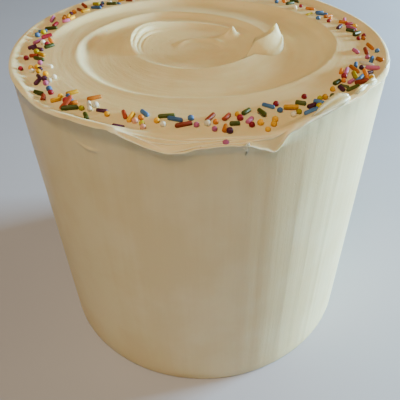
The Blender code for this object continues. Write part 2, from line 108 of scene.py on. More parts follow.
EYE_WIDTH = 1.6 * MM

# The small peak inside the bowl, with its tail
PEAK_PLACE = (0.188, 0.175)
PEAK_HEADING = (0.93, 0.37)
PEAK_HEIGHT = 5.0 * MM
PEAK_WIDTH = 1.7 * MM
PEAK_TAIL = 5.0 * MM
PEAK_SHARPNESS = 1.3

# %% [markdown]
# The camera
#
# The photograph is taken from close above the cake, so the tall cake tapers towards its base in the
# picture. A lens of 42 mm on a 36 mm sensor, 0.21 m in front of the axis and 0.24 m up, gives the same
# taper and the same oval for the top. The picture is cut a little off its middle, so the frame is shifted
# and the camera turned.

# %% Camera
LENS = 42.2
CAMERA_PLACE = (0.0022, -0.2108, 0.2361)
CAMERA_TILT = 49.4
CAMERA_TURN = -1.3
FRAME_SHIFT = -0.0396

camera = bpy.data.objects.new("camera", bpy.data.cameras.new("camera"))
camera.data.lens = LENS
camera.data.sensor_width = 36
camera.data.clip_start = 0.01
camera.location = CAMERA_PLACE
camera.rotation_euler = (math.radians(CAMERA_TILT), 0, math.radians(CAMERA_TURN))
camera.data.shift_x = FRAME_SHIFT
bpy.context.scene.collection.objects.link(camera)
bpy.context.scene.camera = camera
print("camera", CAMERA_PLACE, "lens", LENS, "mm")

# %% [markdown]
# The form of the top
#
# A palette knife held on a turning cake leaves a ridge with a steep inner side and a long, easy outer
# slope. The knife's path is a short table of angle, radius and height, read as a smooth curve, and the
# height of the icing follows from the distance to that curve. The same function lays each sprinkle on the
# surface.

# %% Relief of the top
def through(rows, column, at):
    """One column of the rows as a smooth curve through all of them, read at the given places."""
    places, values = rows[:, 0], rows[:, column]
    slopes = np.gradient(values, places)
    low = np.clip(np.searchsorted(places, at) - 1, 0, len(places) - 2)
    gap = places[low + 1] - places[low]
    t = (at - places[low]) / gap
    rise = t * t * (3 - 2 * t)
    start = t * (1 - t) ** 2 * slopes[low] * gap
    end = t * t * (t - 1) * slopes[low + 1] * gap
    return values[low] * (1 - rise) + values[low + 1] * rise + start + end


def place_at(angle, radius, height):
    """The place at an angle round the cake, a distance from its axis and a height."""
    turn = math.radians(angle)
    return Vector((math.sin(turn) * radius, -math.cos(turn) * radius, height))


def eased(value, low, high):
    t = np.clip((value - low) / (high - low), 0, 1)
    return t * t * (3 - 2 * t)


def ridge(radius, angle, rows, slope_length):
    """Height of a ridge left by the knife: steep on its inner side, easing down outwards."""
    total = np.zeros_like(radius)
    first, last = rows[0, 0], rows[-1, 0]
    for turn in (-360, 0, 360, 720):
        at = angle + turn
        where = np.clip(at, first, last)
        away = radius - RADIUS * through(rows, 1, where)
        step = MM * through(rows, 2, where)
        inner = np.clip(1 + away / STEP_WIDTH, 0, 1) ** STEP_POWER
        outer = np.exp(-np.clip(away, 0, None) / slope_length)
        total += np.where((at >= first) & (at <= last), step * np.where(away < 0, inner, outer), 0)
    return total


def top_relief(x, y):
    """Height of the icing above the plane of the rim, for arrays of places on the top."""
    radius, angle = np.hypot(x, y), np.degrees(np.arctan2(x, -y))
    share = radius / RADIUS
    dish = -BAND_DEPTH - GROOVE_DEPTH * (1 - eased(share, *GROOVE_EDGE))
    dish = dish - BOWL_DEPTH * (1 - eased(share, *BOWL_EDGE))
    strokes = np.maximum(ridge(radius, angle, SPIRAL, SLOPE_LENGTH), ridge(radius, angle, FOLD, FOLD_SLOPE))
    eye_line = np.exp(-(((radius - EYE_RADIUS * RADIUS) / EYE_WIDTH) ** 2))
    eye = EYE_HEIGHT * eye_line * eased(-np.cos(np.radians(angle)), -0.1, 0.7)
    crown_radius = RADIUS - MM * through(RIM, 2, angle)
    rise = MM * through(RIM, 1, angle)
    crown_foot = crown_radius - CROWN_WIDTH - CROWN_SPREAD * np.clip(rise, 0, None)
    crown = (BAND_DEPTH + rise) * eased(radius, crown_foot, crown_radius)
    along = (x - PEAK_PLACE[0] * RADIUS) * PEAK_HEADING[0] + (y - PEAK_PLACE[1] * RADIUS) * PEAK_HEADING[1]
    across = (y - PEAK_PLACE[1] * RADIUS) * PEAK_HEADING[0] - (x - PEAK_PLACE[0] * RADIUS) * PEAK_HEADING[1]
    reach = np.hypot(along / np.where(along > 0, PEAK_WIDTH, PEAK_TAIL), across / PEAK_WIDTH)
    peak = PEAK_HEIGHT * np.exp(-reach ** PEAK_SHARPNESS)
    return dish + strokes + eye + crown + peak


def top_height(x, y):
    return HEIGHT + float(top_relief(np.array([x]), np.array([y]))[0])


print("middle of the top is", round(1000 * top_height(0, 0), 1), "mm up")

# %% [markdown]
# Marks too fine for the CAD model
#
# The scraper leaves faint upright flutes in the wall, most of all at the right of the front, and three
# short ledges under the rim at the left. The knife leaves thin strands where the last stroke folded over.
# The lip is several thin sheets dragged over each other, each with a torn, beaded edge. All are waves and
# beads a fraction of a millimetre high. Waves of several lengths with seeded phases never look ruled.

# %% Fine marks
FLUTE_DEPTH = 0.22 * MM
FLUTE_WINDOW = (4, 80, 14)
FLUTES_ELSEWHERE = 0.35
FLUTES_FULL_AT = 20 * MM
STRAND_HEIGHT = 0.62 * MM
STRAND_SPACING = 1.9 * MM
STRANDS_INSIDE = 1.6 * MM
STRANDS_WIDTH = 2.8 * MM
STRANDS_WINDOW = (-152, -74, 30)
TEAR_DEPTH = 0.30 * MM
TORN_WINDOW = (-50, 60, 20)
TORN_ELSEWHERE = 0.3
BEAD_HEIGHT = 0.42 * MM
BEAD_WIDTH = 0.36 * MM
MARKS_OUT = 0.95
MARKS_UP = 0.9

# Torn edges and strands on the lip: first and last angle, how far down the roll each runs at its start,
# middle and end as a share of the roll, and how high it stands (mm)
LIP_STRANDS = np.array([
    (-24, -8, 0.10, 0.35, 0.80, 0.46), (-20, 4, 0.20, 0.22, 0.30, 0.42), (-16, 12, 0.45, 0.36, 0.22, 0.46),
    (-9, 11, 1.00, 0.62, 0.30, 0.60), (-6, 21, 0.10, 0.07, 0.12, 0.40), (-3, 14, 0.80, 0.72, 0.55, 0.40),
    (3, 19, 0.30, 0.24, 0.16, 0.46), (10, 21, 0.55, 0.30, 0.20, 0.42), (17, 27, 0.95, 0.60, 0.55, 0.42),
    (21, 44, 0.70, 0.55, 0.60, 0.36), (24, 36, 0.20, 0.30, 0.25, 0.36),
])

# Ledges that the scraper left on the wall: first and last angle, how far under the rim's plane each runs at
# its start, middle and end, and how far it stands out (all mm)
WALL_LEDGES = np.array([
    (-24, -11, 3.6, 4.6, 5.6, 0.35), (-33, -24, 6, 8.2, 7.4, 0.30), (-31, -25, 9.6, 8.4, 9.8, 0.25),
])
LEDGE_WIDTH = 0.55 * MM
STRAND_SWAY = 0.03
FOLD_SWAY = 1.4

# Waves round the cake: how many are added, how few and how many turns each may have, and a seed
FLUTE_WAVES = (18, (20, 150), 7)
TEAR_WAVES = (12, (17, 90), 2)
FOLD_WAVES = (4, (3, 9), 5)
STRAND_WAVES = (4, (5, 17))


def wave_sum(at, waves, turns, seed):
    """A sum of waves round the cake, with whole numbers of turns so that it closes on itself."""
    draw = random.Random(seed)
    total = np.zeros_like(at)
    for _ in range(waves):
        count = draw.randint(*turns)
        total += math.sqrt(turns[0] / count) * np.sin(np.radians(at) * count + draw.uniform(0, 2 * math.pi))
    return total / math.sqrt(waves)


def rim_curve(t, start, bend, end):
    """A curve from start to end that leans towards bend on its way."""
    return (1 - t) ** 2 * start + 2 * t * (1 - t) * bend + t * t * end


def mark_line(angle, first, last, start, middle, end):
    """Where a mark runs, from start through middle to end, between its first and last angle."""
    along = np.clip((angle - first) / (last - first), 0, 1)
    return rim_curve(along, start, 2 * middle - (start + end) / 2, end)


def window(angle, low, high, ease):
    return eased(angle, low, low + ease) * (1 - eased(angle, high - ease, high))


def strands(x, y):
    """Thin strands along the inner side of the fold, where the last stroke doubled over."""
    radius, angle = np.hypot(x, y), np.degrees(np.arctan2(x, -y))
    away = radius - RADIUS * through(FOLD, 1, np.clip(angle, FOLD[0, 0], FOLD[-1, 0]))
    near = np.exp(-((away + STRANDS_INSIDE) / STRANDS_WIDTH) ** 2) * window(angle, *STRANDS_WINDOW)
    phase = 2 * math.pi * away / STRAND_SPACING + FOLD_SWAY * wave_sum(angle, *FOLD_WAVES)
    return STRAND_HEIGHT * near * np.sin(phase)


def lip_marks(t, length, angle):
    """Strands on the roll of the lip and the bead along its torn edge. t runs from crown to edge."""
    total = BEAD_HEIGHT * np.exp(-(((1 - t) * length - 0.8 * BEAD_WIDTH) / BEAD_WIDTH) ** 2)
    for first, last, start, middle, end, height in LIP_STRANDS:
        line = mark_line(angle, first, last, start, middle, end)
        line = line + STRAND_SWAY * wave_sum(angle, *STRAND_WAVES, first)
        near = np.exp(-(((t - line) * length) / BEAD_WIDTH) ** 2)
        total += height * MM * near * window(angle, first, last, 0.25 * (last - first))
    return total


def wall_marks(level, angle):
    """The ledges on the wall under the rim, for arrays of depths below the rim's plane and of angles."""
    total = np.zeros_like(level)
    for first, last, start, middle, end, height in WALL_LEDGES:
        line = MM * mark_line(angle, first, last, start, middle, end)
        near = np.exp(-(((level - line) / LEDGE_WIDTH) ** 2))
        total += height * MM * near * window(angle, first, last, 0.3 * (last - first))
    return total


print("flutes are up to", round(1000 * FLUTE_DEPTH, 2), "mm deep")

# %% [markdown]
# The icing
#
# The whole skin of icing is one turned surface. The Screw modifier sweeps half of an outline round the
# axis, as the cake itself was turned under the scraper, and the functions above then move its points.
# Rings lie about 0.9 mm apart on the top, close enough for the sharp side of the ridge, and closer in the
# fold, on the lip and under it.

# %% Turn and shape the icing
SEGMENTS = 480
RING_STRETCHES = (
    (3 * MM, 22 * MM, 0.95 * MM), (22 * MM, 36 * MM, 0.5 * MM), (36 * MM, 72 * MM, 0.9 * MM),
    (72 * MM, 82.7 * MM, 0.6 * MM),
)
LIP_LEVEL = 3.0 * MM
CREASE_LEVEL = 5.0 * MM
CREASE_DEPTH = 0.6 * MM
LIP_RINGS = 30
UNDER_RINGS = 5
LEDGE_RINGS = 22
LEDGE_STEP = 0.4 * MM
WALL_RINGS = 22
WALL_RINGS_FROM = 18 * MM


def mesh_object(name, mesh):
    obj = bpy.data.objects.new(name, mesh)
    bpy.context.scene.collection.objects.link(obj)
    return obj


def evaluated_mesh(obj, name):
    graph = bpy.context.evaluated_depsgraph_get()
    made = bpy.data.meshes.new_from_object(obj.evaluated_get(graph), depsgraph=graph)
    made.name = name
    return made


def turned(outline):
    """Sweeps an outline of (distance from the axis, height) pairs round the axis with a Screw modifier."""
    mesh = bpy.data.meshes.new("outline")
    mesh.from_pydata([(r, 0, z) for r, z in outline], [(i, i + 1) for i in range(len(outline) - 1)], [])
    obj = mesh_object("outline", mesh)
    screw = obj.modifiers.new("turn", "SCREW")
    screw.steps = screw.render_steps = SEGMENTS
    screw.use_merge_vertices = True
    screw.merge_threshold = TINY
    made = evaluated_mesh(obj, "turned")
    bpy.data.objects.remove(obj, do_unlink=True)
    return made


def icing_mesh():
    """The turned skin with every point moved to where the scraper and the knife left the icing."""
    rings = [r for stretch in RING_STRETCHES for r in np.arange(*stretch)] + [RADIUS]
    outline = [(0, HEIGHT)] + [(r, HEIGHT) for r in rings]
    under = (CREASE_LEVEL - LIP_LEVEL) / UNDER_RINGS
    for level, step, count in (
        (0, LIP_LEVEL / LIP_RINGS, LIP_RINGS), (LIP_LEVEL, under, UNDER_RINGS),
        (CREASE_LEVEL, LEDGE_STEP, LEDGE_RINGS),
    ):
        outline += [(RADIUS, HEIGHT - level - step * (i + 1)) for i in range(count)]
    outline += [(RADIUS, z) for z in np.linspace(HEIGHT - WALL_RINGS_FROM, FOOT_HEIGHT, WALL_RINGS)]
    outline += [(RADIUS - FOOT_INSET * 0.3, FOOT_HEIGHT * 0.4), (RADIUS - FOOT_INSET, 0)]
    outline += [(RADIUS / 2, 0), (0, 0)]
    mesh = turned(outline)
    points = np.empty(len(mesh.vertices) * 3)
    mesh.vertices.foreach_get("co", points)
    x, y, z = points.reshape(-1, 3).T.copy()
    radius, angle = np.hypot(x, y), np.degrees(np.arctan2(x, -y))
    level = HEIGHT - z
    rise, inset, drop, out = (MM * through(RIM, column, angle) for column in (1, 2, 3, 4))
    front = TORN_ELSEWHERE + (1 - TORN_ELSEWHERE) * window(angle, *TORN_WINDOW)
    drop = drop + TEAR_DEPTH * front * wave_sum(angle, *TEAR_WAVES)

    top = (level < TINY) & (radius < RADIUS - TINY)
    near_rim = np.clip((radius - BAND_EDGE) / (RADIUS - BAND_EDGE), 0, 1)
    drawn_in = 1 - inset * near_rim / np.maximum(radius, MM)
    x, y = np.where(top, x * drawn_in, x), np.where(top, y * drawn_in, y)
    z[top] += (top_relief(x, y) + strands(x, y))[top]

    rim = (level < LIP_LEVEL + TINY) & ~top
    t = np.clip(level / LIP_LEVEL, 0, 1)
    shift = rim_curve(t, -inset, 0.25 * out - 0.2 * inset, out)
    height = rim_curve(t, rise, 0.66 * rise - 0.34 * drop, -drop)
    marks = lip_marks(t, inset + out + drop, angle)
    shift, height = shift + MARKS_OUT * marks, height + MARKS_UP * marks * (1 - t)

    below = (level > LIP_LEVEL + TINY) & (level < CREASE_LEVEL + TINY)
    s = np.clip((level - LIP_LEVEL) / (CREASE_LEVEL - LIP_LEVEL), 0, 1) * math.pi / 2
    shift = np.where(below, out * np.cos(s), shift)
    height = np.where(below, -drop - CREASE_DEPTH * np.sin(s), height)

    wall = (level >= CREASE_LEVEL + TINY) & (z > TINY)
    strength = FLUTES_ELSEWHERE + (1 - FLUTES_ELSEWHERE) * window(angle, *FLUTE_WINDOW)
    flute = -FLUTE_DEPTH * strength * (0.5 + 0.5 * wave_sum(angle, *FLUTE_WAVES))
    flute = flute * eased(level, CREASE_LEVEL, FLUTES_FULL_AT)
    shift = np.where(wall, flute + wall_marks(level, angle), shift)

    moved = rim | below
    z[moved] = (HEIGHT + height)[moved]
    scale = np.where(moved | wall, 1 + shift / np.maximum(radius, MM), 1)
    mesh.vertices.foreach_set("co", np.stack([x * scale, y * scale, z], 1).ravel())
    # Painted highlight: the lip's beads and strands are painted paler in the material, and this attribute
    # says how much.
    edge_highlight = np.where(rim, np.clip(marks / BEAD_HEIGHT, 0, 1), 0)
    mesh.attributes.new("painted_edge_highlight", "FLOAT", "POINT").data.foreach_set("value", edge_highlight)
    mesh.update()
    return mesh


def facing_out(mesh):
    """Turns every face outwards and shades the mesh smooth."""
    bm = bmesh.new()
    bm.from_mesh(mesh)
    bmesh.ops.recalc_face_normals(bm, faces=bm.faces)
    bm.to_mesh(mesh)
    bm.free()
    mesh.shade_smooth()


icing = mesh_object("icing", icing_mesh())
facing_out(icing.data)
print("icing:", len(icing.data.polygons), "faces")

# %% [markdown]
# The curl and the flakes
#
# Where the knife lifted off, it pulled up a leaf of buttercream with a sharp tip. It is hollow on the side
# the knife was on, and its far edge rolls up. On the rim, small flakes of icing were torn loose and folded
# over. A height function can't fold over, so these are lofts: slices set across a path and joined. Their
# feet run below the surface, so no gap shows.

# %% Loft the curl and the flakes
# The curl. By slices: share of the way, crest x and y, height (mm), inner foot x and y, outer foot x and y,
# height of the roll (mm). Each x and y is a share of the radius
CURL = np.array([
    (0.00, 0.215, -0.178, -1.5, 0.208, -0.168, 0.222, -0.185, 0.0),
    (0.18, 0.250, -0.130, 1.4, 0.250, -0.098, 0.284, -0.163, 0.0),
    (0.36, 0.276, -0.094, 3.4, 0.274, -0.022, 0.348, -0.166, 0.0),
    (0.54, 0.306, -0.060, 5.2, 0.292, 0.050, 0.404, -0.150, 0.2),
    (0.68, 0.360, -0.020, 6.0, 0.308, 0.110, 0.440, -0.105, 0.6),
    (0.80, 0.402, 0.026, 6.8, 0.330, 0.160, 0.462, -0.030, 1.1),
    (0.90, 0.424, 0.084, 8.6, 0.364, 0.198, 0.470, 0.050, 1.3),
    (1.00, 0.431, 0.200, 0.6, 0.407, 0.226, 0.462, 0.168, 0.3),
])
CURL_STATIONS = 64
CURL_SIDE_STEPS = 26
CURL_SUNK = 3.2 * MM
HOLLOW_POWER = 1.35
SWELL_POWER = 0.85
ROLLED_AT = 0.80
ROLL_WIDTH = 0.12

# Torn flakes on the rim, each a strip along a path. By stations: share of the way, angle, distance in from
# the wall, height above the rim's plane, half width, half thickness (mm), and the tilt of its face (degrees)
FLAKES = {
    "folded_flake": np.array([
        (0, 26, -0.1, 2.2, 0.5, 0.3, 40), (0.25, 29, 0.6, 3.4, 1.4, 0.6, 50),
        (0.6, 34, 1.7, 4.6, 2.5, 0.8, 62), (0.85, 38, 2.1, 5.2, 2.5, 0.8, 68),
        (1, 40.2, 1.6, 5.1, 1.2, 0.5, 66),
    ]),
    "torn_edge": np.array([
        (0, 43, 1.6, 4.2, 0.5, 0.4, 60), (0.3, 45.5, 1.3, 5.6, 1.1, 0.7, 45),
        (0.5, 48.5, 1.8, 4.9, 0.8, 0.6, 70), (0.75, 51.5, 0.9, 5.2, 1.3, 0.8, 40),
        (1, 54.5, 0.9, 3.7, 0.5, 0.4, 50),
    ]),
    "torn_tag": np.array([
        (0, 10.2, -0.8, -1.2, 1.5, 0.4, 10), (0.35, 10.6, -0.7, -2.8, 1, 0.5, 5),
        (0.7, 10.9, -0.2, -4.4, 0.45, 0.4, 0), (1, 10.5, 0.1, -6.2, 0.25, 0.25, 0),
    ]),
    "rim_spike": np.array([
        (0, 66, 0.8, 0.6, 0.9, 0.5, 20), (0.5, 68.5, 0.5, 1.9, 0.8, 0.45, 10),
        (1, 70.5, 0, 3, 0.25, 0.25, 0),
    ]),
}
FLAKE_STATIONS = 26
FLAKE_SIDES = 40
FLAKE_CREASE = 0.42 * MM
FLAKE_SHEETS = 3


def curl_slice(row):
    """Points round one slice: up its hollow inner face, down its outer face to the roll, and under."""
    crest, inner, outer = (Vector((row[i] * RADIUS, row[i + 1] * RADIUS, 0)) for i in (0, 3, 5))
    height, roll = row[2] * MM, row[7] * MM
    base = HEIGHT - BAND_DEPTH - GROOVE_DEPTH
    steps = [i / CURL_SIDE_STEPS for i in range(CURL_SIDE_STEPS + 1)]
    hollow = [(inner.lerp(crest, t), height * t ** HOLLOW_POWER) for t in steps]
    swell = []
    for t in steps[1:]:
        rolled = roll * math.exp(-(((t - ROLLED_AT) / ROLL_WIDTH) ** 2))
        swell.append((crest.lerp(outer, t), height * (1 - t) ** SWELL_POWER + rolled))
    under = [(crest.lerp(outer, 0.7), -CURL_SUNK), (crest.lerp(inner, 0.7), -CURL_SUNK)]
    return [place + Vector((0, 0, base + up)) for place, up in hollow + swell + under]


def lofted(name, slices):
    """Joins slices of as many points each into a closed skin, with a cap at each end."""
    bm = bmesh.new()
    rings = [[bm.verts.new(place) for place in ring] for ring in slices]
    for near, far in zip(rings, rings[1:]):
        for i in range(len(near)):
            j = (i + 1) % len(near)
            bm.faces.new((near[i], near[j], far[j], far[i]))
    bm.faces.new(rings[0])
    bm.faces.new(rings[-1])
    mesh = bpy.data.meshes.new(name)
    bm.to_mesh(mesh)
    bm.free()
    facing_out(mesh)
    return mesh


def stations_of(rows, count):
    """The columns after the first, read as smooth curves at evenly spaced stations."""
    at = np.linspace(0, 1, count)
    return np.stack([through(rows, column, at) for column in range(1, rows.shape[1])], 1)


def flake_slices(rows):
    """Oval slices set across the path of a flake, creased along its length."""
    stations = stations_of(rows, FLAKE_STATIONS)
    path = [place_at(row[0], RADIUS - row[1] * MM, HEIGHT + row[2] * MM) for row in stations]
    slices = []
    for i, row in enumerate(stations):
        along = (path[min(i + 1, len(path) - 1)] - path[max(i - 1, 0)]).normalized()
        outward = Vector((path[i].x, path[i].y, 0)).normalized()
        face = outward * math.cos(math.radians(row[5])) + Vector((0, 0, math.sin(math.radians(row[5]))))
        across = along.cross(face).normalized()
        face = across.cross(along)
        ring = []
        for k in range(FLAKE_SIDES):
            turn = 2 * math.pi * k / FLAKE_SIDES
            sheet = abs(math.sin(FLAKE_SHEETS * (turn + 0.5 * i / FLAKE_STATIONS)))
            crease = FLAKE_CREASE * (sheet - 1) * min(1, row[3] / 1.5)
            place = path[i] + across * (row[3] * MM * math.cos(turn))
            ring.append(place + face * (row[4] * MM * math.sin(turn) + crease * max(0, math.sin(turn))))
        slices.append(ring)
    return slices


curl_slices = [curl_slice(row) for row in stations_of(CURL, CURL_STATIONS)]
curl = mesh_object("curl_of_icing", lofted("curl_of_icing", curl_slices))
flakes = [mesh_object(name, lofted(name, flake_slices(rows))) for name, rows in FLAKES.items()]
print("curl:", len(curl.data.polygons), "faces, and", len(flakes), "flakes")

# %% [markdown]
# The ring of sprinkles
#
# The sprinkles were dropped in pinches, so they lie in loose groups of a few colours with gaps between.
# Each pinch is a row with its angle, its distance from the middle and a letter for each sprinkle: capitals
# are rods, small letters pearls. A seeded random draw gives each one its exact place and heading, and the
# same draw in the CAD model put its solids in the same places.

# %% Draw the sprinkles
PINCHES = (
    (-172, 0.86, "BYRk"), (-160, 0.87, "GOPl"), (-147, 0.80, "ROw"), (-139, 0.84, "wBY"),
    (-131, 0.85, "LGBBp"), (-125, 0.88, "RRY"), (-116, 0.87, "opYYO"), (-109, 0.89, "KCK"),
    (-100, 0.91, "BGl"), (-94, 0.90, "bKCO"), (-85, 0.86, "PcGwP"), (-79, 0.88, "lYR"),
    (-74, 0.90, "ckcG"), (-67, 0.89, "pyyywPW"), (-60, 0.88, "Pkywpw"), (-51, 0.90, "cbyGR"),
    (-43, 0.89, "OYYGcBR"), (-35, 0.87, "wOWlGP"), (-26, 0.88, "RyP"), (-19, 0.89, "Yloee"),
    (-9, 0.86, "BRGywB"), (1, 0.86, "wRbko"), (7, 0.88, "ROpkG"), (14, 0.84, "GGKyc"),
    (17, 0.92, "yyyyc"), (26, 0.83, "YBcb"), (30, 0.88, "BPwGll"), (38, 0.86, "ycBlg"),
    (50, 0.88, "oPGGGy"), (57, 0.83, "KKLcO"), (58, 0.93, "BwPROy"), (67, 0.88, "pKOBW"),
    (73, 0.94, "BOk"), (80, 0.89, "bROK"), (92, 0.89, "ccoG"), (99, 0.87, "GPCK"),
    (105, 0.90, "OKy"), (113, 0.84, "bOOc"), (122, 0.85, "LOBB"), (131, 0.83, "cwG"),
    (140, 0.83, "ObGO"), (152, 0.86, "YRpB"), (163, 0.86, "KGwO"), (174, 0.87, "PBYc"),
)
ANGLE_SPREAD = 2.6
SHARE_SPREAD = 0.026
BAND_LIMITS = (0.76, 0.965)
ROD_LENGTH = (4.4 * MM, 6.5 * MM)
ROD_RADIUS = (0.82 * MM, 0.96 * MM)
PEARL_RADIUS = (1.00 * MM, 1.25 * MM)
LIP_PEARL = (5.9, 0.988, -1.1 * MM)
SUNK_SHARE = 0.40
TOUCH = 0.15 * MM
CLEAR_TRIES = 24
STACKED_TRIES = 12
STACKED_RISE = 0.5
STACKED_TILT = 1.7
FAR_APART = 20 * MM
SEED = 12


def gap_between(first, second):
    """Smallest distance in plan between two sprinkles, each a short line between its two ends."""
    mine, theirs = ([one["a"].xy.lerp(one["b"].xy, i / 6) for i in range(7)] for one in (first, second))
    return min((p - q).length for p in mine for q in theirs)


def rise_over(piece, others):
    """How far a sprinkle has to rise to clear those already lying under it."""
    rise = 0.0
    for other in others:
        if (piece["a"].xy - other["a"].xy).length > FAR_APART:
            continue
        reach = piece["radius"] + other["radius"] - TOUCH
        gap = gap_between(piece, other)
        if gap < reach:
            top = max(other["a"].z, other["b"].z)
            low = (piece["a"].z + piece["b"].z) / 2
            rise = max(rise, top + math.sqrt(reach * reach - gap * gap) - low)
    return rise


def drawn_sprinkle(draw, angle, share, is_rod):
    """One sprinkle dropped near the middle of its pinch, resting part sunk in the icing."""
    turn = math.radians(draw.gauss(angle, ANGLE_SPREAD))
    out = min(max(draw.gauss(share, SHARE_SPREAD), BAND_LIMITS[0]), BAND_LIMITS[1]) * RADIUS
    heading = draw.uniform(0, math.pi)
    length = draw.uniform(*ROD_LENGTH) if is_rod else 0
    radius = draw.uniform(*ROD_RADIUS) if is_rod else draw.uniform(*PEARL_RADIUS)
    place = Vector((math.sin(turn), -math.cos(turn))) * out
    reach = Vector((math.cos(heading), math.sin(heading))) * max(length - 2 * radius, TINY) / 2
    ends = (place - reach, place + reach)
    if max(end.length for end in ends) > BAND_LIMITS[1] * RADIUS:
        return None
    lift = radius * (1 - SUNK_SHARE)
    a, b = (Vector((end.x, end.y, top_height(end.x, end.y) + lift)) for end in ends)
    return {"rod": is_rod, "a": a, "b": b, "radius": radius}


def sprinkle_list():
    """Every sprinkle as its ends, radius, kind and colour letter. The last one has rolled onto the lip."""
    draw = random.Random(SEED)
    placed = []
    for angle, share, letters in PINCHES:
        for letter in letters:
            for attempt in range(CLEAR_TRIES + STACKED_TRIES):
                piece = drawn_sprinkle(draw, angle, share, letter.isupper())
                if piece is None:
                    continue
                rise = rise_over(piece, placed)
                longest = (piece["b"] - piece["a"]).length
                if rise > 0 and (attempt < CLEAR_TRIES or rise > longest * STACKED_RISE):
                    continue
                piece["b"].z += rise * STACKED_TILT
                piece["colour"] = letter.upper()
                placed.append(piece)
                break
    angle, share, level = LIP_PEARL
    place = place_at(angle, share * RADIUS, HEIGHT + level)
    ends = (place, place + Vector((0, 0, TINY)))
    placed.append({"rod": False, "a": ends[0], "b": ends[1], "radius": PEARL_RADIUS[1], "colour": "K"})
    return placed


sprinkles = sprinkle_list()
print(len(sprinkles), "sprinkles,", sum(piece["rod"] for piece in sprinkles), "of them rods")

# %% [markdown]
# Sprinkles with Geometry Nodes
#
# Nearly two hundred small things are best made once and repeated. Each colour gets a mesh of bare points,
# one for each sprinkle, that carry its heading, its size and a random shade as attributes. A node tree
# sets a pearl, a straight rod or a bent one on every point. Realizing the instances gives an ordinary
# mesh, and a little noise keeps any two from being the same.

# %% Sprinkle node tree
ROD_HALF_LENGTH = 3.8
ROD_SIDES, ROD_RINGS = 10, 8
BENT_SHARE = 0.2
BEND = 0.085
UNEVENNESS = 0.10 * MM
UNEVEN_SCALE = 420


def add_node(tree, kind, **settings):
    node = tree.nodes.new(kind)
    for name, value in settings.items():
        setattr(node, name, value)
    return node


def set_inputs(node, values):
    for name, value in values.items():
        node.inputs[name].default_value = value


def chain(tree, *pairs):
    for start, end in pairs:
        tree.links.new(start, end)


def math_node(tree, operation, *values):
    node = add_node(tree, "ShaderNodeMath", operation=operation)
    for i, value in enumerate(values):
        if isinstance(value, (int, float)):
            node.inputs[i].default_value = value
        else:
            tree.links.new(value, node.inputs[i])
    return node.outputs[0]


def times(tree, first, second):
    return math_node(tree, "MULTIPLY", first, second)


def shaped_rod(tree, sides, rings, bend):
    """A unit sphere drawn out to a rod along Z, then bent towards X. Returns its geometry socket."""
    ball = add_node(tree, "GeometryNodeMeshUVSphere")
    place = add_node(tree, "GeometryNodeInputPosition")
    parts = add_node(tree, "ShaderNodeSeparateXYZ")
    chain(tree, (sides, ball.inputs["Segments"]), (rings, ball.inputs["Rings"]))
    chain(tree, (place.outputs[0], parts.inputs[0]))
    up = parts.outputs["Z"]
    drawn_out = times(tree, math_node(tree, "SIGN", up), ROD_HALF_LENGTH - 1)
    sideways = times(tree, times(tree, up, up), bend)
    shape = ball.outputs["Mesh"]
    for axis, amount in (("Z", drawn_out), ("X", sideways)):
        offset = add_node(tree, "ShaderNodeCombineXYZ")
        moved = add_node(tree, "GeometryNodeSetPosition")
        chain(tree, (amount, offset.inputs[axis]), (offset.outputs[0], moved.inputs["Offset"]))
        chain(tree, (shape, moved.inputs["Geometry"]))
        shape = moved.outputs[0]
    return shape


def point_attribute(tree, name, kind):
    node = add_node(tree, "GeometryNodeInputNamedAttribute", data_type=kind)
    node.inputs["Name"].default_value = name
    return node.outputs["Attribute"]


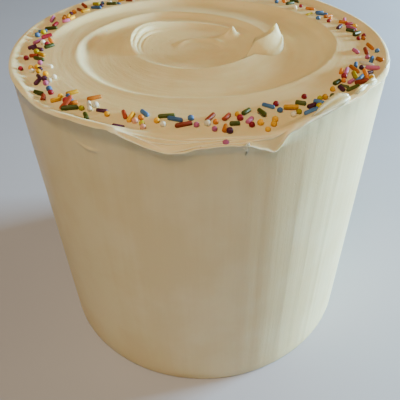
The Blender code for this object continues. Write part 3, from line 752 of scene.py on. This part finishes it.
def sprinkle_tree():
    """The node tree that sets a rod or a pearl on every point, by the point's own attributes."""
    tree = bpy.data.node_groups.new("Sprinkles on points", "GeometryNodeTree")
    tree.is_modifier = True
    tree.interface.new_socket("Geometry", in_out="INPUT", socket_type="NodeSocketGeometry")
    for name, kind, value in (
        ("Sides", "NodeSocketInt", ROD_SIDES), ("Rings", "NodeSocketInt", ROD_RINGS),
        ("Rods", "NodeSocketBool", True), ("Bend", "NodeSocketFloat", BEND),
        ("Unevenness", "NodeSocketFloat", UNEVENNESS), ("Finish", "NodeSocketMaterial", None),
    ):
        socket = tree.interface.new_socket(name, in_out="INPUT", socket_type=kind)
        if value is not None:
            socket.default_value = value
    tree.interface.new_socket("Geometry", in_out="OUTPUT", socket_type="NodeSocketGeometry")
    given, result = add_node(tree, "NodeGroupInput").outputs, add_node(tree, "NodeGroupOutput")
    sides, rings = given["Sides"], given["Rings"]
    straight = shaped_rod(tree, sides, rings, 0)
    bent = shaped_rod(tree, sides, rings, given["Bend"])
    pearl = add_node(tree, "GeometryNodeMeshUVSphere")
    chain(tree, (sides, pearl.inputs["Segments"]), (rings, pearl.inputs["Rings"]))
    wrapped = [add_node(tree, "GeometryNodeGeometryToInstance") for _ in range(2)]
    both = add_node(tree, "GeometryNodeJoinGeometry")
    chain(
        tree,
        (straight, wrapped[0].inputs[0]), (bent, wrapped[1].inputs[0]),
        (wrapped[1].outputs[0], both.inputs[0]), (wrapped[0].outputs[0], both.inputs[0]),
    )
    kind = add_node(tree, "GeometryNodeSwitch", input_type="GEOMETRY")
    which = point_attribute(tree, "bent", "INT")
    turn, size = (point_attribute(tree, name, "FLOAT_VECTOR") for name in ("turn", "size"))
    spin = add_node(tree, "FunctionNodeEulerToRotation")
    setting = add_node(tree, "GeometryNodeInstanceOnPoints")
    real = add_node(tree, "GeometryNodeRealizeInstances")
    chain(
        tree,
        (given["Rods"], kind.inputs["Switch"]), (pearl.outputs["Mesh"], kind.inputs["False"]),
        (both.outputs[0], kind.inputs["True"]), (given["Geometry"], setting.inputs["Points"]),
        (kind.outputs[0], setting.inputs["Instance"]), (which, setting.inputs["Instance Index"]),
        (given["Rods"], setting.inputs["Pick Instance"]), (turn, spin.inputs[0]),
        (spin.outputs[0], setting.inputs["Rotation"]), (size, setting.inputs["Scale"]),
        (setting.outputs[0], real.inputs[0]),
    )
    noise = add_node(tree, "ShaderNodeTexNoise")
    set_inputs(noise, {"Scale": UNEVEN_SCALE, "Detail": 1})
    middle = add_node(tree, "ShaderNodeVectorMath", operation="SUBTRACT")
    middle.inputs[1].default_value = (0.5, 0.5, 0.5)
    scaled = add_node(tree, "ShaderNodeVectorMath", operation="SCALE")
    uneven = add_node(tree, "GeometryNodeSetPosition")
    smooth = add_node(tree, "GeometryNodeSetShadeSmooth")
    finish = add_node(tree, "GeometryNodeSetMaterial")
    chain(
        tree,
        (noise.outputs["Color"], middle.inputs[0]), (middle.outputs[0], scaled.inputs[0]),
        (given["Unevenness"], scaled.inputs["Scale"]), (real.outputs[0], uneven.inputs["Geometry"]),
        (scaled.outputs[0], uneven.inputs["Offset"]), (uneven.outputs[0], smooth.inputs["Geometry"]),
        (smooth.outputs[0], finish.inputs["Geometry"]), (given["Finish"], finish.inputs["Material"]),
        (finish.outputs[0], result.inputs[0]),
    )
    return tree


scatter = sprinkle_tree()
print("sprinkle tree:", len(scatter.nodes), "nodes")

# %% [markdown]
# Shader parts that are shared
#
# Several marks recur on the icing, so each is a small shader group that can be reused and tested alone: a
# mask for the top, upright streaks from the scraper, round streaks from the knife, and the little holes
# that air leaves in whipped buttercream. Each group gives only a mask or a height.

# %% Shader groups
NOISE_ROUGHNESS = 0.55
TOP_FACING = (0.25, 0.7)

# Noises: scale, detail and stretch along Z
NOISES = {
    "broad": (95, 3, 0.03), "fine": (420, 3, 0.05), "swirl": (70, 3, 1), "drift": (26, 4, 1),
    "grain": (900, 2, 1), "mottle": (700, 3, 1), "sugar": (2400, 2, 1), "floor": (6, 2, 1),
}
KNIFE_OUT = 330
KNIFE_ROUND = 2.2


def shader_group(name, inputs, outputs):
    """An empty shader group with named float inputs and outputs."""
    group = bpy.data.node_groups.new(name, "ShaderNodeTree")
    for label, value in inputs.items():
        socket = group.interface.new_socket(label, in_out="INPUT", socket_type="NodeSocketFloat")
        socket.default_value = value
    for label in outputs:
        group.interface.new_socket(label, in_out="OUTPUT", socket_type="NodeSocketFloat")
    return group, add_node(group, "NodeGroupInput"), add_node(group, "NodeGroupOutput")


def stretched_noise(tree, name):
    """Noise read from object coordinates that are first stretched along Z."""
    scale, detail, stretch = NOISES[name]
    place = add_node(tree, "ShaderNodeTexCoord")
    mapping = add_node(tree, "ShaderNodeMapping")
    set_inputs(mapping, {"Scale": (1, 1, stretch)})
    noise = add_node(tree, "ShaderNodeTexNoise")
    set_inputs(noise, {"Scale": scale, "Detail": detail, "Roughness": NOISE_ROUGHNESS})
    chain(tree, (place.outputs["Object"], mapping.inputs[0]), (mapping.outputs[0], noise.inputs[0]))
    return noise.outputs["Fac"]


def blend(tree, first, share, second, rest):
    """first and second added together, each multiplied by its own share."""
    parts = (times(tree, value, by) for value, by in ((first, share), (second, rest)))
    return math_node(tree, "ADD", *parts)


def ranged(tree, value, low, high, to_low=0.0, to_high=1.0):
    node = add_node(tree, "ShaderNodeMapRange", interpolation_type="SMOOTHSTEP")
    tree.links.new(value, node.inputs["Value"])
    set_inputs(node, {"From Min": low, "From Max": high, "To Min": to_low, "To Max": to_high})
    return node.outputs["Result"]


def flat_part_mask():
    """1 on the top and 0 on the wall, from which way the surface faces."""
    group, _, result = shader_group("Top of the cake", {}, ["Top"])
    facing = add_node(group, "ShaderNodeNewGeometry")
    parts = add_node(group, "ShaderNodeSeparateXYZ")
    chain(group, (facing.outputs["Normal"], parts.inputs[0]))
    chain(group, (ranged(group, parts.outputs["Z"], *TOP_FACING), result.inputs["Top"]))
    return group


def scraper_group():
    """Upright streaks: noise that changes fast round the cake and slowly up it."""
    group, _, result = shader_group("Scraper streaks", {}, ["Height"])
    broad = stretched_noise(group, "broad")
    fine = stretched_noise(group, "fine")
    chain(group, (blend(group, broad, 0.7, fine, 0.3), result.inputs["Height"]))
    return group


def knife_group():
    """Round streaks on the top: noise that changes fast outwards and slowly round."""
    group, _, result = shader_group("Knife streaks", {}, ["Height"])
    place = add_node(group, "ShaderNodeTexCoord")
    parts = add_node(group, "ShaderNodeSeparateXYZ")
    chain(group, (place.outputs["Object"], parts.inputs[0]))
    x, y = parts.outputs["X"], parts.outputs["Y"]
    out = math_node(group, "SQRT", blend(group, x, x, y, y))
    turn = math_node(group, "ARCTAN2", x, times(group, y, -1))
    across = times(group, out, KNIFE_OUT)
    waves = [times(group, math_node(group, kind, turn), KNIFE_ROUND) for kind in ("SINE", "COSINE")]
    joined = add_node(group, "ShaderNodeCombineXYZ")
    noise = add_node(group, "ShaderNodeTexNoise")
    set_inputs(noise, {"Scale": 1, "Detail": 4})
    for i, value in enumerate((across, *waves)):
        chain(group, (value, joined.inputs[i]))
    chain(group, (joined.outputs[0], noise.inputs[0]))
    soft = stretched_noise(group, "swirl")
    chain(group, (blend(group, noise.outputs["Fac"], 0.6, soft, 0.4), result.inputs["Height"]))
    return group


def pits_group():
    """Small round holes left by air, in a few of the cells of a Voronoi texture."""
    group, given, result = shader_group("Air holes", {"Scale": 200.0, "Share": 0.2, "Size": 0.1}, ["Hole"])
    place = add_node(group, "ShaderNodeTexCoord")
    cells = add_node(group, "ShaderNodeTexVoronoi")
    chain(group, (place.outputs["Object"], cells.inputs["Vector"]))
    chain(group, (given.outputs["Scale"], cells.inputs["Scale"]))
    near = add_node(group, "ShaderNodeMapRange", interpolation_type="SMOOTHSTEP")
    set_inputs(near, {"To Min": 1, "To Max": 0})
    chosen = add_node(group, "ShaderNodeSeparateColor")
    chain(
        group,
        (cells.outputs["Distance"], near.inputs["Value"]), (given.outputs["Size"], near.inputs["From Max"]),
        (cells.outputs["Color"], chosen.inputs[0]),
    )
    some = math_node(group, "LESS_THAN", chosen.outputs[0], given.outputs["Share"])
    chain(group, (times(group, near.outputs["Result"], some), result.inputs["Hole"]))
    return group


groups = {"top": flat_part_mask(), "scraper": scraper_group(), "knife": knife_group(), "pits": pits_group()}
print("shader groups:", ", ".join(group.name for group in groups.values()))

# %% [markdown]
# Buttercream
#
# Buttercream is fat whipped with sugar: matt at a distance, with a soft greasy gloss. Light goes a little
# way into it, which rounds off the shadows and makes thin edges glow. Subsurface scattering gives that
# depth, with a longer reach in the thin curl and flakes. The tone drifts between a paler and a deeper
# cream, and the streaks change the gloss as well as the height. The air holes are painted darker at the
# bottom, as painted shade. The beads and strands on the lip's torn edges are painted paler as a painted
# highlight, and the mesh carries where as an attribute.

# %% Buttercream material
CREAM_LIGHT = (0.88, 0.76, 0.46, 1)
CREAM_DEEP = (0.82, 0.67, 0.36, 1)
# A painted highlight on the lip's torn beads and strands, standing in for light catching them.
EDGE_HIGHLIGHT_TONE = (0.99, 0.94, 0.72, 1)
EDGE_HIGHLIGHT_SHARE = 0.85
# Painted shade inside the air holes.
HOLE_SHADE_TONE = (0.52, 0.40, 0.25, 1)
ICING_ROUGHNESS = (0.36, 0.52)
BUMP_DEPTH = 0.35 * MM
BUMP_STRENGTH = 0.8
PITS = {"Scale": 130, "Share": 0.10, "Size": 0.055}
PORES = {"Scale": 520, "Share": 0.22, "Size": 0.16}
PORE_DEPTH = 0.25
BUTTER_IOR = 1.45
DRIFT_SHARE = 0.65
TONE_RANGE = (0.40, 0.62)
HOLE_SHADE_SHARE = 0.7
HOLE_DROP = 0.9
GRAIN_SHARE = 0.12
SCATTER_INPUTS = ("Subsurface Weight", "Subsurface Scale", "Subsurface Radius")
THICK_SCATTER = (0.35, 0.9 * MM, (1.0, 0.62, 0.34))
THIN_SCATTER = (0.9, 5.0 * MM, (1.0, 0.95, 0.85))


def mixed_colour(tree, share, first, second):
    node = add_node(tree, "ShaderNodeMix", data_type="RGBA")
    tree.links.new(share, node.inputs["Factor"])
    for label, colour in (("A", first), ("B", second)):
        socket = next(s for s in node.inputs if s.name == label and s.type == "RGBA")
        if isinstance(colour, tuple):
            socket.default_value = colour
        else:
            tree.links.new(colour, socket)
    return next(s for s in node.outputs if s.type == "RGBA")


def bumped(tree, shader, height, strength, depth):
    """Bumps the shader's normal by a height."""
    bump = add_node(tree, "ShaderNodeBump")
    set_inputs(bump, {"Strength": strength, "Distance": depth})
    chain(tree, (height, bump.inputs["Height"]), (bump.outputs[0], shader.inputs["Normal"]))


def empty_material(name):
    material = bpy.data.materials.new(name)
    material.use_nodes = True
    return material, material.node_tree, material.node_tree.nodes["Principled BSDF"]


def buttercream_material(name, scattering):
    material, tree, shader = empty_material(name)
    top, scraper, knife, pits, pores = (
        add_node(tree, "ShaderNodeGroup", node_tree=groups[kind])
        for kind in ("top", "scraper", "knife", "pits", "pits")
    )
    set_inputs(pits, PITS)
    set_inputs(pores, PORES)
    change = math_node(tree, "SUBTRACT", knife.outputs["Height"], scraper.outputs["Height"])
    streak = math_node(tree, "MULTIPLY_ADD", change, top.outputs["Top"], scraper.outputs["Height"])
    drift = stretched_noise(tree, "drift")
    tone = ranged(tree, blend(tree, drift, DRIFT_SHARE, streak, 1 - DRIFT_SHARE), *TONE_RANGE)
    cream = mixed_colour(tree, tone, CREAM_DEEP, CREAM_LIGHT)
    # Painted highlight: where the attribute is high, the cream is mixed towards a paler tone.
    edge_highlight = add_node(tree, "ShaderNodeAttribute", attribute_name="painted_edge_highlight")
    highlight_amount = times(tree, edge_highlight.outputs["Fac"], EDGE_HIGHLIGHT_SHARE)
    cream = mixed_colour(tree, highlight_amount, cream, EDGE_HIGHLIGHT_TONE)
    small_hole = times(tree, pores.outputs["Hole"], PORE_DEPTH)
    hole = math_node(tree, "MAXIMUM", pits.outputs["Hole"], small_hole)
    # Painted shade: the air holes are mixed towards a dark tone, darkest at their middle.
    cream = mixed_colour(tree, times(tree, hole, HOLE_SHADE_SHARE), cream, HOLE_SHADE_TONE)
    chain(tree, (cream, shader.inputs["Base Color"]))
    chain(tree, (ranged(tree, streak, 0.35, 0.65, *ICING_ROUGHNESS), shader.inputs["Roughness"]))
    fine = stretched_noise(tree, "grain")
    height = math_node(tree, "MULTIPLY_ADD", fine, GRAIN_SHARE, streak)
    height = math_node(tree, "MULTIPLY_ADD", hole, -HOLE_DROP, height)
    bumped(tree, shader, height, BUMP_STRENGTH, BUMP_DEPTH)
    set_inputs(shader, {**dict(zip(SCATTER_INPUTS, scattering)), "IOR": BUTTER_IOR})
    return material


buttercream = buttercream_material("buttercream", THICK_SCATTER)
thin_buttercream = buttercream_material("thin_buttercream", THIN_SCATTER)
for piece, material in ((icing, buttercream), *((piece, thin_buttercream) for piece in (curl, *flakes))):
    piece.data.materials.clear()
    piece.data.materials.append(material)
print("buttercream:", len(buttercream.node_tree.nodes), "nodes")

# %% [markdown]
# Sugar sprinkles
#
# Sprinkles are sugar paste under a thin polish of glaze. The colour is strong but uneven: it differs from
# one to the next and is mottled within each, paler where the paste is dry. One function makes a material
# for every colour, so a single change reaches them all.

# %% Sprinkle materials
SUGAR = {
    "B": ("blue", (0.065, 0.17, 0.42)),
    "R": ("brick", (0.34, 0.045, 0.012)),
    "O": ("orange", (0.66, 0.20, 0.012)),
    "Y": ("yellow", (0.78, 0.40, 0.0)),
    "L": ("lime", (0.48, 0.40, 0.0)),
    "G": ("green", (0.055, 0.075, 0.004)),
    "P": ("purple", (0.07, 0.008, 0.04)),
    "C": ("crimson", (0.29, 0.002, 0.02)),
    "K": ("pink", (0.55, 0.14, 0.33)),
    "W": ("white", (0.88, 0.80, 0.66)),
    "E": ("peach", (0.72, 0.36, 0.27)),
}
SUGAR_FINISH = {
    "Roughness": 0.5, "Specular IOR Level": 0.28, "Subsurface Weight": 0.08, "Subsurface Scale": 0.6 * MM,
}
SHADE_SPREAD = 0.5
GRAIN_DEPTH = 0.08 * MM


def sugar_material(name, colour):
    material, tree, shader = empty_material(f"sugar_{name}")
    shade = add_node(tree, "ShaderNodeAttribute", attribute_name="shade")
    mottle = stretched_noise(tree, "mottle")
    dark = tuple(value * 0.6 for value in colour) + (1,)
    pale = tuple(min(1, value * 1.2 + 0.012) for value in colour) + (1,)
    mix = blend(tree, shade.outputs["Fac"], SHADE_SPREAD, mottle, 1 - SHADE_SPREAD)
    chain(tree, (mixed_colour(tree, ranged(tree, mix, 0.15, 0.85), dark, pale), shader.inputs["Base Color"]))
    bumped(tree, shader, stretched_noise(tree, "sugar"), 0.35, GRAIN_DEPTH)
    set_inputs(shader, SUGAR_FINISH)
    return material


sugars = {letter: sugar_material(name, colour) for letter, (name, colour) in SUGAR.items()}
print(len(sugars), "sugar colours")

# %% [markdown]
# Set out the sprinkles
#
# Each colour of rod and of pearl becomes one piece. The draw gives two ends for every sprinkle, and the
# heading from one to the other becomes three Euler angles, which the node tree reads from the point.

# %% Make the sprinkle pieces
SHADE_SEED = 31


def point_mesh(pieces, draw):
    """Bare points with the attributes that the node tree reads: turn, size, bent and shade."""
    mesh = bpy.data.meshes.new("points")
    mesh.from_pydata([(piece["a"] + piece["b"]) / 2 for piece in pieces], [], [])
    turns, sizes, bent, shades = [], [], [], []
    for piece in pieces:
        along, radius = piece["b"] - piece["a"], piece["radius"]
        spin = Euler((0, 0, draw.uniform(0, 2 * math.pi))).to_matrix()
        aim = along.normalized().to_track_quat("Z", "Y").to_matrix() @ spin
        length = along.length / (2 * ROD_HALF_LENGTH - 2) if piece["rod"] else radius
        turns.extend(aim.to_euler())
        sizes.extend((radius, radius, length))
        bent.append(int(draw.random() < BENT_SHARE))
        shades.append(draw.random())
    for name, kind, field, values in (
        ("turn", "FLOAT_VECTOR", "vector", turns), ("size", "FLOAT_VECTOR", "vector", sizes),
        ("bent", "INT", "value", bent), ("shade", "FLOAT", "value", shades),
    ):
        mesh.attributes.new(name, kind, "POINT").data.foreach_set(field, values)
    return mesh


def scattered(name, pieces, material, draw):
    """Runs the node tree on the pieces' points and keeps the mesh that it makes."""
    points = mesh_object("points", point_mesh(pieces, draw))
    scattering = points.modifiers.new("scatter", "NODES")
    scattering.node_group = scatter
    sockets = {item.name: item.identifier for item in scatter.interface.items_tree if item.in_out == "INPUT"}
    scattering[sockets["Rods"]] = pieces[0]["rod"]
    scattering[sockets["Finish"]] = material
    made = mesh_object(name, evaluated_mesh(points, name))
    bpy.data.objects.remove(points, do_unlink=True)
    return made


shade_draw = random.Random(SHADE_SEED)
sprinkle_pieces = []
for letter, (colour_name, _) in SUGAR.items():
    for is_rod, kind_name in ((True, "rods"), (False, "pearls")):
        chosen = [piece for piece in sprinkles if piece["colour"] == letter and piece["rod"] == is_rod]
        if chosen:
            name = f"{kind_name}_{colour_name}"
            sprinkle_pieces.append(scattered(name, chosen, sugars[letter], shade_draw))
print(len(sprinkle_pieces), "sprinkle pieces,", sum(len(p.data.polygons) for p in sprinkle_pieces), "faces")

# %% [markdown]
# Tie the pieces to the cake
#
# The icing stands for the CAD solid, which is then hidden. Nothing on a cake moves, so every piece rides
# on the one body.

# %% Ride and replace
for piece in (icing, curl, *flakes, *sprinkle_pieces):
    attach(piece, "root")
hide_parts("iced_cake")
print("pieces:", 2 + len(flakes) + len(sprinkle_pieces))

# %% [markdown]
# Floor and light
#
# The cake is shown on a plain pale floor. The photograph's light is daylight from a window at the right
# and a little behind, cool against the warm light of the room. It rakes across the top, so each ridge has
# a bright side, and it leaves the left of the wall in warm shade. Three soft area lights and a dim world
# do this.

# %% Floor and lights
FLOOR_HALF = 4
LIGHTS = (
    ("window", (1.2, 0.34, 0.23), (0.40, 0.20), 93.0, (0.49, 0.73, 0.83)),
    ("room_above", (-0.1, -0.45, 1.3), (0.35, 0.35), 11.5, (1.0, 0.76, 0.46)),
    ("room_left", (-1.0, -0.9, 0.55), (1.0, 1.0), 1.5, (1.0, 0.72, 0.40)),
)
WORLD_COLOUR = (1.0, 0.82, 0.55, 1)
WORLD_STRENGTH = 0.07
FLOOR_TONES = ((0.46, 0.48, 0.60, 1), (0.49, 0.51, 0.63, 1))

floor_mesh = bpy.data.meshes.new("floor")
corners = [(x * FLOOR_HALF, y * FLOOR_HALF, 0) for x, y in ((-1, -1), (1, -1), (1, 1), (-1, 1))]
floor_mesh.from_pydata(corners, [], [(0, 1, 2, 3)])
floor = mesh_object("floor", floor_mesh)
floor_material, floor_tree, floor_shader = empty_material("pale_floor")
set_inputs(floor_shader, {"Roughness": 0.75})
floor_tone = ranged(floor_tree, stretched_noise(floor_tree, "floor"), 0.3, 0.7)
chain(floor_tree, (mixed_colour(floor_tree, floor_tone, *FLOOR_TONES), floor_shader.inputs["Base Color"]))
floor_mesh.materials.append(floor_material)

for name, place, size, power, colour in LIGHTS:
    lamp = bpy.data.objects.new(name, bpy.data.lights.new(name, "AREA"))
    lamp.data.shape = "RECTANGLE"
    lamp.data.size, lamp.data.size_y = size
    lamp.data.energy = power
    lamp.data.color = colour
    lamp.location = place
    lamp.rotation_euler = (Vector((0, 0, HEIGHT / 2)) - Vector(place)).to_track_quat("-Z", "Y").to_euler()
    bpy.context.scene.collection.objects.link(lamp)

world = bpy.data.worlds.new("room")
world.use_nodes = True
set_inputs(world.node_tree.nodes["Background"], {"Color": WORLD_COLOUR, "Strength": WORLD_STRENGTH})
bpy.context.scene.world = world
print(len(LIGHTS), "lights")
